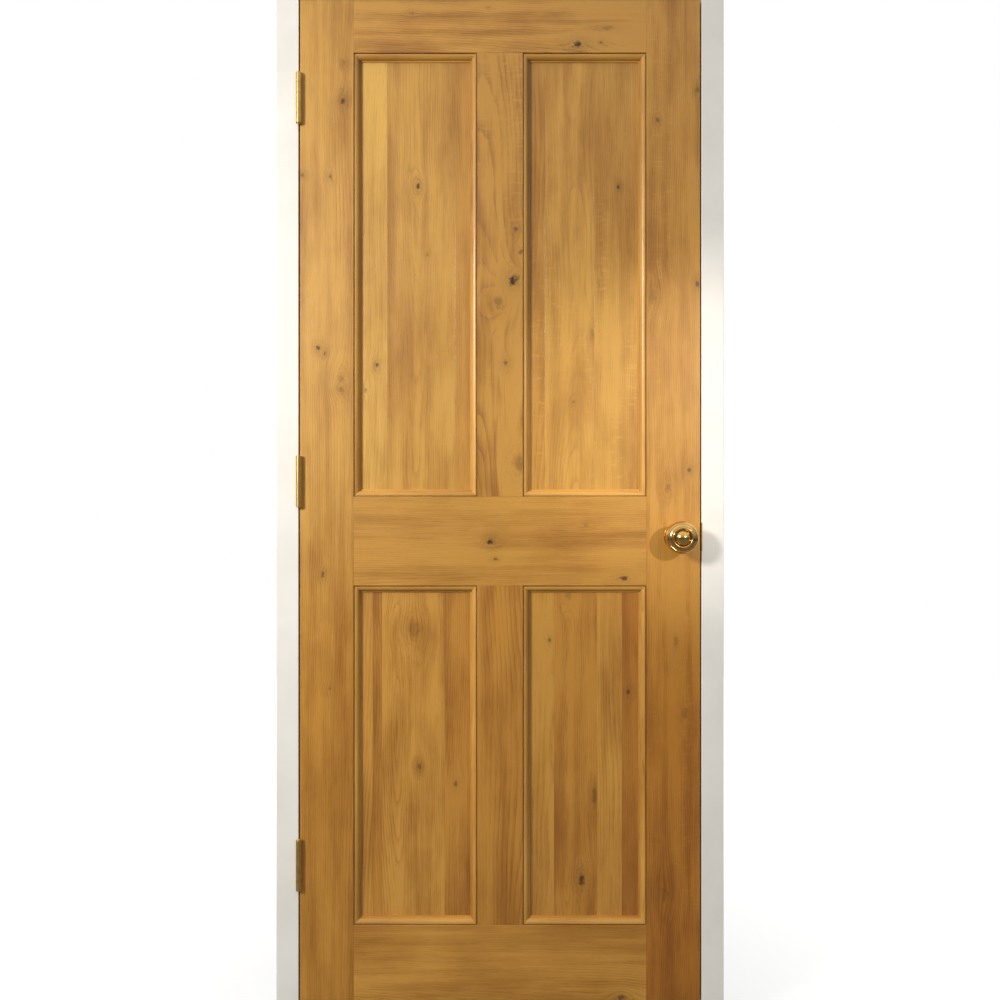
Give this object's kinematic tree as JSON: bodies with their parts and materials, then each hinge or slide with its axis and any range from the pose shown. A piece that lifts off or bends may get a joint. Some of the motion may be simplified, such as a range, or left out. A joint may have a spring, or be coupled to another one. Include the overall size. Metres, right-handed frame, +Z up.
{
  "type": "panelled front door",
  "caption": "Panelled oak front door hung on butt hinges in a white-painted frame with stops and a sill, with turned brass knobs and a sprung tubular latch.",
  "frame": {"origin": "on the floor, on the sill's underside, below the middle of the closed leaf's width and thickness", "axes": "+Z up along the leaf's height, +X to the latch side as the leaf is faced from the side it opens to, +Y through the doorway away from that side"},
  "size_m": [0.909, 0.2, 2.129],
  "materials": {
    "oak": "satin lacquer",
    "white_paint": "satin paint",
    "brass": "polished",
    "steel": "zinc plated",
    "seal": "matte"
  },
  "bodies": {
    "frame": {"hinge_jamb": "white_paint", "latch_jamb": "white_paint", "frame_head": "white_paint", "frame_sill": "white_paint", "hinge_side_stop": "white_paint", "latch_side_stop": "white_paint", "head_stop": "white_paint", "hinge_side_seal": "seal", "latch_side_seal": "seal", "head_seal": "seal", "strike_plate": "brass", "strike_screws": "brass", "top_hinge_frame_plate": "brass", "middle_hinge_frame_plate": "brass", "bottom_hinge_frame_plate": "brass", "top_hinge_pin": "brass", "middle_hinge_pin": "brass", "bottom_hinge_pin": "brass", "hinge_frame_screws": "brass"},
    "leaf": {"hinge_stile": "oak", "lock_stile": "oak", "top_rail": "oak", "lock_rail": "oak", "bottom_rail": "oak", "upper_muntin": "oak", "lower_muntin": "oak", "upper_left_panel": "oak", "upper_right_panel": "oak", "lower_left_panel": "oak", "lower_right_panel": "oak", "upper_left_front_beads": "oak", "upper_right_front_beads": "oak", "lower_left_front_beads": "oak", "lower_right_front_beads": "oak", "upper_left_rear_beads": "oak", "upper_right_rear_beads": "oak", "lower_left_rear_beads": "oak", "lower_right_rear_beads": "oak", "top_hinge_leaf_plate": "brass", "middle_hinge_leaf_plate": "brass", "bottom_hinge_leaf_plate": "brass", "hinge_leaf_screws": "brass", "latch_case": "steel", "latch_faceplate": "brass", "latch_faceplate_screws": "brass", "latch_spring": "steel", "front_rose": "brass", "rear_rose": "brass", "front_rose_screws": "brass", "rear_rose_screws": "brass"},
    "knobs": {"front_knob": "brass", "rear_knob": "brass", "spindle": "steel", "follower": "steel", "front_grub_screw": "steel", "rear_grub_screw": "steel"},
    "bolt": {"latch_bolt": "brass", "bolt_tail": "steel"}
  },
  "joints": [
    {"name": "leaf_swing", "type": "hinge", "parent": "frame", "child": "leaf", "pos_m": [-0.408, -0.028, 1], "axis": [0, 0, -1], "range_deg": [0, 170]},
    {"name": "knob_turn", "type": "hinge", "parent": "leaf", "child": "knobs", "pos_m": [0.362, 0, 0.99], "axis": [0, -1, 0], "range_deg": [0, 60]},
    {"name": "latch_slide", "type": "slide", "parent": "leaf", "child": "bolt", "axis": [1, 0, 0], "range_m": [0, 0.0096], "stiffness_N_per_m": 500, "springref_m": 0.0255, "deforming": ["latch_spring"]}
  ],
  "couplings": [
    {"joint": "latch_slide", "follows": "knob_turn", "m_per_rad": 0.0090718}
  ]
}
